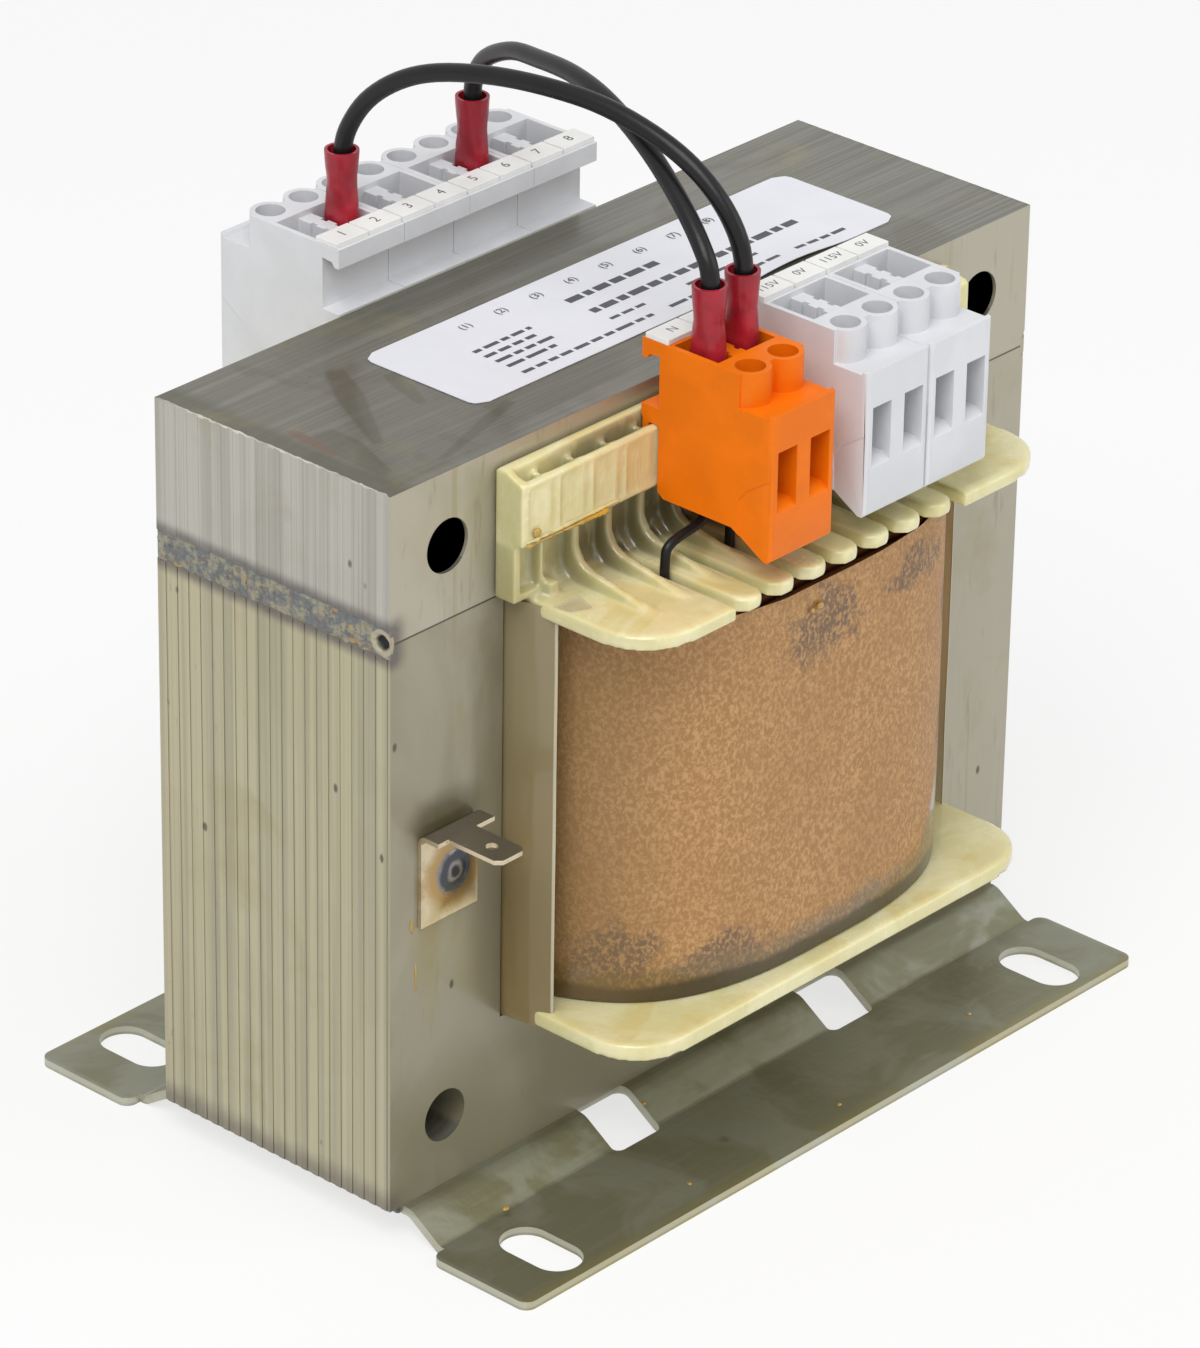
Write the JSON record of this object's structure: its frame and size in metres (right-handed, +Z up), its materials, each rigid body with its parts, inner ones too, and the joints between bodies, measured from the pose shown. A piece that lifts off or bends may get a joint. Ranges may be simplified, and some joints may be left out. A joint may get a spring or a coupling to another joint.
{
  "type": "laminated chassis transformer",
  "caption": "Welded lamination-stack transformer on a pressed slotted base, with a taped winding, comb bobbin, clip-on screw terminal blocks and sleeved jumper leads.",
  "frame": {"origin": "centre of the four foot slots, on the plane that the feet stand on", "axes": "+X along the lamination width towards the right foot slots, +Y from the earth tab side towards the four-block side, +Z up"},
  "size_m": [0.15, 0.109, 0.1733],
  "materials": {
    "core_steel": "varnished sheet edges",
    "yoke_steel": "dark varnished sheet edges",
    "weld_bead": "heat-tinted weld",
    "base_zinc": "passivated zinc under varnish",
    "tinned_brass": "tinned",
    "natural_nylon": "natural, varnish-dipped",
    "enamelled_wire": "enamelled copper",
    "insulation_board": "varnished fibre board",
    "clear_film": "clear film",
    "black_sleeving": "semi-gloss",
    "orange_polyamide": "satin moulding",
    "grey_polyamide": "satin moulding",
    "white_tag": "matt",
    "plated_steel": "zinc plated",
    "red_sleeve": "glossy soft vinyl",
    "label_paper": "satin label"
  },
  "bodies": {
    "root": {"e_stack": "core_steel", "i_yoke": "yoke_steel", "joint_weld_left": "weld_bead", "joint_weld_right": "weld_bead", "base_plate": "base_zinc", "base_weld_left": "weld_bead", "base_weld_right": "weld_bead", "earth_tab": "tinned_brass", "bobbin": "natural_nylon", "primary_winding": "enamelled_wire", "winding_barrier": "insulation_board", "secondary_winding": "enamelled_wire", "outer_wrap": "insulation_board", "liner_left": "clear_film", "liner_right": "clear_film", "leadouts_front": "black_sleeving", "leadouts_rear": "black_sleeving", "terminal_orange": "orange_polyamide", "terminal_front_1": "grey_polyamide", "terminal_front_2": "grey_polyamide", "terminal_rear_1": "grey_polyamide", "terminal_rear_2": "grey_polyamide", "terminal_rear_3": "grey_polyamide", "terminal_rear_4": "grey_polyamide", "tags_front": "white_tag", "tags_rear": "white_tag", "clamp_cages_front": "plated_steel", "clamp_cages_rear": "plated_steel", "clamp_screws_front": "plated_steel", "clamp_screws_rear": "plated_steel", "contacts_front": "tinned_brass", "contacts_rear": "tinned_brass", "sleeve_rear_a": "red_sleeve", "sleeve_rear_b": "red_sleeve", "sleeve_front_a": "red_sleeve", "sleeve_front_b": "red_sleeve", "receptacles": "tinned_brass", "jumper_lead_a": "black_sleeving", "jumper_lead_b": "black_sleeving", "rating_label": "label_paper"}
  },
  "joints": []
}
